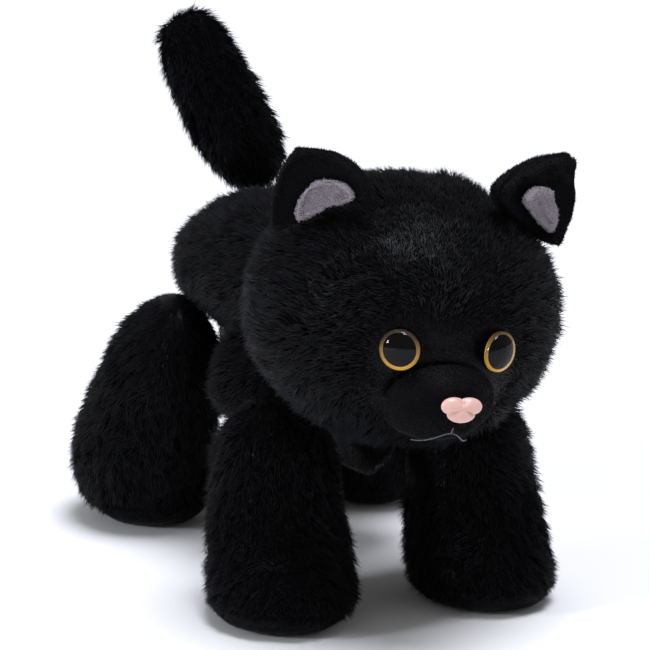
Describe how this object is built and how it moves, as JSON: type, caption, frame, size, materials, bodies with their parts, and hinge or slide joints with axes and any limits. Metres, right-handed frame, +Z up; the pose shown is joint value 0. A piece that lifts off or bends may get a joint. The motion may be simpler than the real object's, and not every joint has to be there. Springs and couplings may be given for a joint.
{
  "type": "plush cat",
  "caption": "Sewn plush cat standing on short stuffed legs, with an upright tail, soft cupped ears, safety eyes and a moulded nose.",
  "frame": {"origin": "middle of the outline box on the floor, under the standing paws", "axes": "+Z up; the body faces -Y, so the tail is at +Y; +X is the cat's left side"},
  "size_m": [0.1148, 0.2062, 0.1487],
  "materials": {
    "black_pile": "satin",
    "black_velour": "matte",
    "lilac_grey_velour": "matte",
    "polyester_fill": "matte",
    "pellet_bag_cloth": "matte",
    "pink_nose_plastic": "gloss",
    "clear_acrylic": "gloss",
    "amber_paint": "satin",
    "black_plastic": "gloss",
    "washer_plastic": "matte",
    "grey_thread": "matte",
    "label_satin": "satin"
  },
  "bodies": {
    "trunk": {"trunk_side_left": "black_pile", "trunk_side_right": "black_pile", "trunk_stuffing": "polyester_fill", "underbody_gusset": "black_pile", "pellet_bag": "pellet_bag_cloth", "care_label": "label_satin", "closing_thread": "grey_thread"},
    "neck": {"neck_plug": "polyester_fill"},
    "head": {"head_side_left": "black_pile", "head_side_right": "black_pile", "head_crown_gusset": "black_pile", "head_chin_panel": "black_pile", "head_stuffing": "polyester_fill", "muzzle_cover": "black_velour", "nose": "pink_nose_plastic", "nose_washer": "washer_plastic", "mouth_thread": "grey_thread", "eye_backing_left": "black_plastic", "eye_backing_right": "black_plastic", "eye_iris_left": "amber_paint", "eye_iris_right": "amber_paint", "eye_lens_left": "clear_acrylic", "eye_lens_right": "clear_acrylic", "eye_washer_left": "washer_plastic", "eye_washer_right": "washer_plastic"},
    "front_leg_left": {"front_leg_left_outer": "black_pile", "front_leg_left_inner": "black_pile", "front_leg_left_stuffing": "polyester_fill", "front_paw_sole_left": "black_pile"},
    "hind_leg_left": {"hind_leg_left_outer": "black_pile", "hind_leg_left_inner": "black_pile", "hind_leg_left_stuffing": "polyester_fill", "hind_paw_sole_left": "black_pile"},
    "ear_left": {"ear_back_left": "black_velour", "ear_front_left": "black_velour", "ear_patch_left": "lilac_grey_velour"},
    "front_leg_right": {"front_leg_right_outer": "black_pile", "front_leg_right_inner": "black_pile", "front_leg_right_stuffing": "polyester_fill", "front_paw_sole_right": "black_pile"},
    "hind_leg_right": {"hind_leg_right_outer": "black_pile", "hind_leg_right_inner": "black_pile", "hind_leg_right_stuffing": "polyester_fill", "hind_paw_sole_right": "black_pile"},
    "ear_right": {"ear_back_right": "black_velour", "ear_front_right": "black_velour", "ear_patch_right": "lilac_grey_velour"},
    "tail": {"tail_panel_left": "black_pile", "tail_panel_right": "black_pile", "tail_stuffing": "polyester_fill"}
  },
  "joints": [
    {"name": "neck_turn", "type": "hinge", "parent": "trunk", "child": "neck", "pos_m": [0, -0.0136, 0.078], "axis": [0, 0, 1], "range_deg": [-12, 12], "stiffness_Nm_per_rad": 0.4},
    {"name": "head_nod", "type": "hinge", "parent": "neck", "child": "head", "pos_m": [0, -0.0136, 0.078], "axis": [1, 0, 0], "range_deg": [-12, 5], "stiffness_Nm_per_rad": 1.5},
    {"name": "shoulder_left_swing", "type": "hinge", "parent": "trunk", "child": "front_leg_left", "pos_m": [0.0279, -0.0236, 0.0405], "axis": [1, 0, 0], "range_deg": [-12, 20], "stiffness_Nm_per_rad": 0.5},
    {"name": "hip_left_swing", "type": "hinge", "parent": "trunk", "child": "hind_leg_left", "pos_m": [0.0337, 0.0614, 0.046], "axis": [1, 0, 0], "range_deg": [-15, 15], "stiffness_Nm_per_rad": 0.5},
    {"name": "shoulder_right_swing", "type": "hinge", "parent": "trunk", "child": "front_leg_right", "pos_m": [-0.0279, -0.0236, 0.0405], "axis": [1, 0, 0], "range_deg": [-12, 20], "stiffness_Nm_per_rad": 0.5},
    {"name": "hip_right_swing", "type": "hinge", "parent": "trunk", "child": "hind_leg_right", "pos_m": [-0.0337, 0.0614, 0.046], "axis": [1, 0, 0], "range_deg": [-15, 15], "stiffness_Nm_per_rad": 0.5},
    {"name": "tail_bend", "type": "hinge", "parent": "trunk", "child": "tail", "pos_m": [0, 0.0799, 0.1078], "axis": [1, 0, 0], "range_deg": [-30, 15], "stiffness_Nm_per_rad": 0.08},
    {"name": "ear_left_fold", "type": "hinge", "parent": "head", "child": "ear_left", "pos_m": [0.02665, -0.06475, 0.11208], "axis": [0.6928, 0.3437, -0.634], "range_deg": [-15, 20], "stiffness_Nm_per_rad": 0.01},
    {"name": "ear_right_fold", "type": "hinge", "parent": "head", "child": "ear_right", "pos_m": [-0.02742, -0.06097, 0.11664], "axis": [0.7905, -0.4726, 0.3895], "range_deg": [-15, 20], "stiffness_Nm_per_rad": 0.01}
  ]
}
